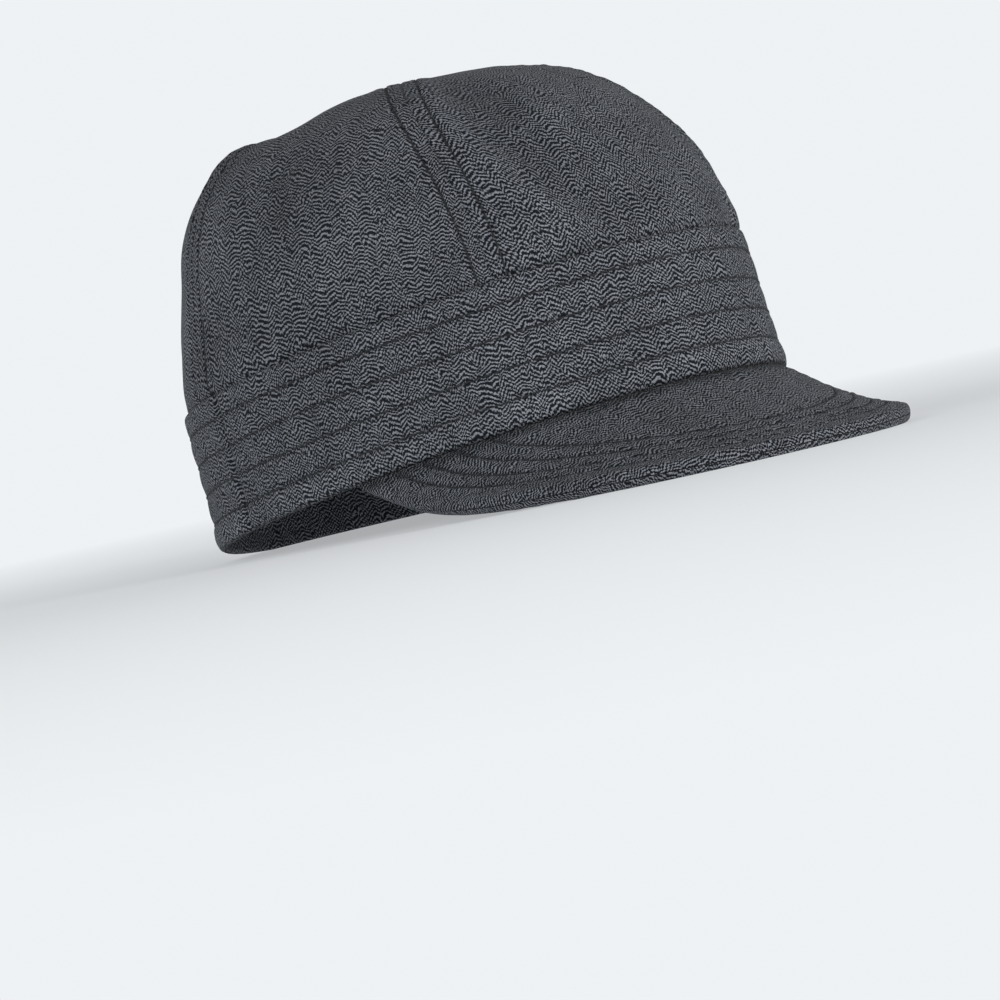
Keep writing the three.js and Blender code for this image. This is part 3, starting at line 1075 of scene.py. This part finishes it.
band_rows = band_piece("band_front", -BAND_JOIN_ANGLE, BAND_JOIN_ANGLE)
band_rows += band_piece("band_back", BAND_JOIN_ANGLE, 360 - BAND_JOIN_ANGLE)
finish_piece(thread_object("band_stitches", band_rows), thread)

peak_rows = peak_ply("peak_top_cloth", 1, 0)
peak_rows += peak_ply("peak_under_cloth", -1, PEAK_ROOT_TUCK)
finish_piece(thread_object("peak_stitches", peak_rows), thread)

# Floor, light and camera, in metres

PALE = (0.86, 0.885, 0.905, 1)
FLOOR_TONE = (0.82, 0.83, 0.84, 1)
FLOOR_HALF_SIZE = 9
FLOOR_FADE_REACH = (0.1, 0.95)
FLOOR_FADE_START = 0.45

LIGHTS_AIM = (0, 0, 0.06)
LIGHTS = [
    {
        "name": "key_light",
        "azimuth": 8,
        "elevation": 14,
        "distance": 1.6,
        "size": 0.5,
        "power": 12,
        "tint": (1, 0.995, 0.985),
    },
    {
        "name": "side_light",
        "azimuth": -85,
        "elevation": 22,
        "distance": 1.7,
        "size": 1.0,
        "power": 7,
        "tint": (0.98, 0.99, 1),
    },
    {
        "name": "back_light",
        "azimuth": 150,
        "elevation": 30,
        "distance": 1.8,
        "size": 1.2,
        "power": 2,
        "tint": (0.97, 0.985, 1),
    },
]

# The backdrop is bright near the horizon and dim overhead: heights of the direction, and strengths
BACKDROP_FADE = (0.15, 0.7, 1.0, 0.2)

PICTURE_WIDTH = 1000
SENSOR_WIDTH = 36
CAMERA_FOCAL_PIXELS = 4779
CAMERA_AZIMUTH = -36.46
CAMERA_ELEVATION = 1.5
CAMERA_LEAN = -12.44
CAMERA_DISTANCE = 1.5
CAMERA_AIM = (-0.0071, 0.0250, 0.0014)


def way_from_cap(azimuth, elevation):
    """The way to something seen from the cap, azimuth in degrees from the front to the left."""
    turn, rise = math.radians(azimuth), math.radians(elevation)
    x = math.sin(turn) * math.cos(rise)
    y = -math.cos(turn) * math.cos(rise)
    return Vector((x, y, math.sin(rise)))


def placed(name, data, place, turn):
    made = bpy.data.objects.new(name, data)
    made.location = place
    made.rotation_mode = "QUATERNION"
    made.rotation_quaternion = turn
    bpy.context.scene.collection.objects.link(made)
    return made


def pale_floor():
    """A large floor that fades into the backdrop's tone away from the cap."""
    mesh = bpy.data.meshes.new("floor")
    corners = [(-1, -1), (1, -1), (1, 1), (-1, 1)]
    corners = [(x * FLOOR_HALF_SIZE, y * FLOOR_HALF_SIZE, 0) for x, y in corners]
    mesh.from_pydata(corners, [], [(0, 1, 2, 3)])
    floor = bpy.data.objects.new("floor", mesh)
    bpy.context.scene.collection.objects.link(floor)
    material = bpy.data.materials.new("pale_floor")
    nodes, principled = shader(material)
    principled.inputs["Base Color"].default_value = FLOOR_TONE
    principled.inputs["Roughness"].default_value = 0.9
    principled.inputs["Specular IOR Level"].default_value = 0.1
    reach = nodes.add("ShaderNodeVectorMath", operation="LENGTH")
    nodes.feed(reach.inputs[0], nodes.add("ShaderNodeTexCoord").outputs["Object"])
    far = nodes.ramp(reach.outputs["Value"], *FLOOR_FADE_REACH, FLOOR_FADE_START, 1.0)
    glow = nodes.add("ShaderNodeEmission")
    glow.inputs["Color"].default_value = PALE
    blend = nodes.add("ShaderNodeMixShader")
    nodes.feed(blend.inputs[0], far)
    nodes.feed(blend.inputs[1], principled.outputs[0])
    nodes.feed(blend.inputs[2], glow.outputs[0])
    output = next(node for node in nodes.tree.nodes if node.type == "OUTPUT_MATERIAL")
    nodes.feed(output.inputs["Surface"], blend.outputs[0])
    mesh.materials.append(material)


def soft_light(name, azimuth, elevation, distance, size, power, tint):
    away = way_from_cap(azimuth, elevation)
    light = bpy.data.lights.new(name, "AREA")
    light.size = size
    light.energy = power
    light.color = tint
    placed(name, light, Vector(LIGHTS_AIM) + away * distance, away.to_track_quat("Z", "Y"))


def camera():
    """The photo's side of the cap, raised a little so that it looks from just above the floor."""
    away = way_from_cap(CAMERA_AZIMUTH, CAMERA_ELEVATION)
    data = bpy.data.cameras.new("camera")
    data.sensor_width = SENSOR_WIDTH
    data.lens = SENSOR_WIDTH * CAMERA_FOCAL_PIXELS / PICTURE_WIDTH
    data.clip_start, data.clip_end = 0.05, 60
    lean = Matrix.Rotation(math.radians(CAMERA_LEAN), 3, "Z")
    turn = (away.to_track_quat("Z", "Y").to_matrix() @ lean).to_quaternion()
    place = Vector(CAMERA_AIM) + away * CAMERA_DISTANCE
    bpy.context.scene.camera = placed("camera", data, place, turn)


def backdrop():
    world = bpy.data.worlds.new("studio")
    world.use_nodes = True
    nodes = Nodes(world.node_tree)
    way = nodes.add("ShaderNodeTexCoord").outputs["Generated"]
    height = nodes.split(way)[2]
    background = world.node_tree.nodes["Background"]
    background.inputs["Color"].default_value = PALE
    nodes.feed(background.inputs["Strength"], nodes.ramp(height, *BACKDROP_FADE))
    bpy.context.scene.world = world
    bpy.context.scene.view_settings.view_transform = "Standard"


pale_floor()
for settings in LIGHTS:
    soft_light(**settings)
camera()
backdrop()

bpy.context.view_layer.update()
